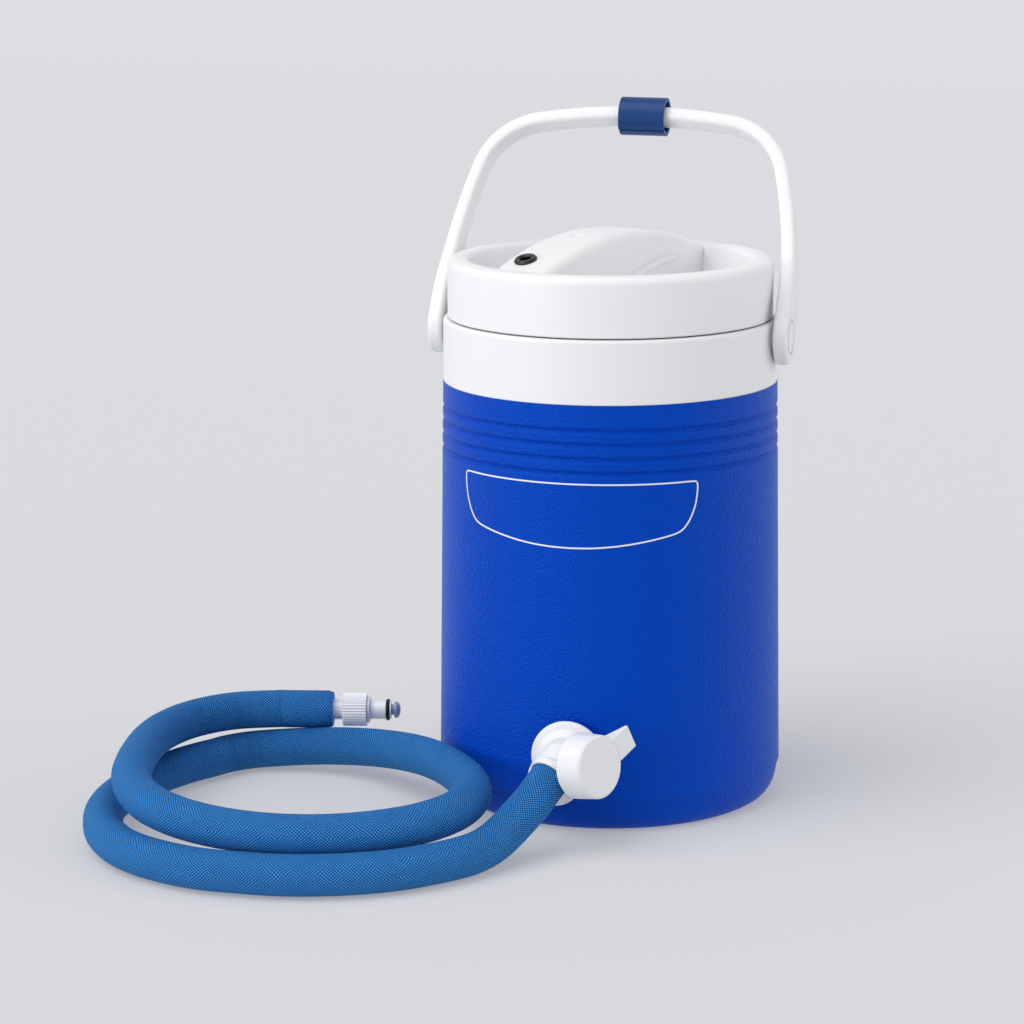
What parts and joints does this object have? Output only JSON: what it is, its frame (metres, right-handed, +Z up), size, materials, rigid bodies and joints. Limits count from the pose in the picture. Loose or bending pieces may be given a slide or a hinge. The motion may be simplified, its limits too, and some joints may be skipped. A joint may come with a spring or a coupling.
{
  "type": "hot cold therapy machine",
  "caption": "Insulated cylindrical jug with a screw-in pump lid, swinging bail handle, lever tap and a coiled fabric-sleeved hose with a quick connector.",
  "frame": {"origin": "centre of the jug's foot ring, on the jug's axis, on the surface it stands on", "axes": "+Z up along the jug; -Y towards the tap; X along the bail handle's pivots"},
  "size_m": [0.3749, 0.3557, 0.3991],
  "materials": {
    "blue_shell": "satin",
    "white": "satin",
    "white_gloss": "gloss",
    "navy": "satin",
    "foam": "matte",
    "seal_black": "matte",
    "seal_grey": "matte",
    "black": "satin",
    "steel": "satin",
    "board": "satin",
    "sleeve": "knitted",
    "tube": "satin",
    "poppet": "satin"
  },
  "bodies": {
    "jug": {"outer_shell": "blue_shell", "foam_jacket": "foam", "inner_tub": "white", "collar": "white", "fill_plug": "blue_shell", "pivot_pin_left": "white", "pivot_pin_right": "white", "tap_body": "white", "tap_gasket": "seal_black", "tap_washer": "seal_black", "tap_nut": "white", "rotor_ring": "steel", "hose_gland": "white", "hose_lead": "sleeve", "hose_coil": "sleeve", "tube_stub": "tube", "connector_body": "white_gloss", "connector_seal": "seal_black"},
    "bail": {"bail_handle": "white"},
    "clip": {"hose_clip": "navy"},
    "lid_seat": {"lid_gasket": "seal_grey"},
    "lid": {"lid_shell": "white", "lid_base": "white", "lid_foam": "foam", "lid_screws": "steel", "power_socket": "black", "socket_nut": "black", "circuit_board": "board", "pump_cradle": "white", "motor_case": "steel", "pump_head": "black", "pump_head_screws": "steel", "air_nozzle": "white", "relief_valve": "seal_black"},
    "pump_rotor": {"motor_shaft": "steel"},
    "tap_valve": {"tap_rotor": "white", "rotor_seal": "seal_black", "tap_lever": "white"},
    "coupling_nut": {"knurled_nut": "white_gloss"},
    "poppet": {"connector_poppet": "poppet"}
  },
  "joints": [
    {"name": "bail_swing", "type": "hinge", "parent": "jug", "child": "bail", "pos_m": [0, 0, 0.2706], "axis": [1, 0, 0], "range_deg": [-88, 148]},
    {"name": "clip_turn", "type": "hinge", "parent": "bail", "child": "clip", "pos_m": [0.00445, 0.06955, 0.38773], "axis": [0.9999, -0.0066, -0.0111], "continuous": true},
    {"name": "lid_lift", "type": "slide", "parent": "jug", "child": "lid_seat", "axis": [0, 0, 1], "range_m": [0, 0.05]},
    {"name": "lid_turn", "type": "hinge", "parent": "lid_seat", "child": "lid", "pos_m": [0, 0, 0.3], "axis": [0, 0, 1], "range_deg": [-45, 0]},
    {"name": "pump_spin", "type": "hinge", "parent": "lid", "child": "pump_rotor", "pos_m": [-0.00265, 0.00964, 0.2999], "axis": [0.3665, 0.9304, 0], "continuous": true},
    {"name": "tap_turn", "type": "hinge", "parent": "jug", "child": "tap_valve", "pos_m": [0, -0.119, 0.0455], "axis": [0.8661, -0.4801, 0.1392], "range_deg": [0, 90]},
    {"name": "nut_spin", "type": "hinge", "parent": "jug", "child": "coupling_nut", "pos_m": [-0.16969, -0.00418, 0.03505], "axis": [0.9785, 0.2063, 0], "continuous": true},
    {"name": "poppet_slide", "type": "slide", "parent": "jug", "child": "poppet", "axis": [-0.9785, -0.2063, 0], "range_m": [0, 0.002], "stiffness_N_per_m": 600, "springref_m": -0.003}
  ]
}
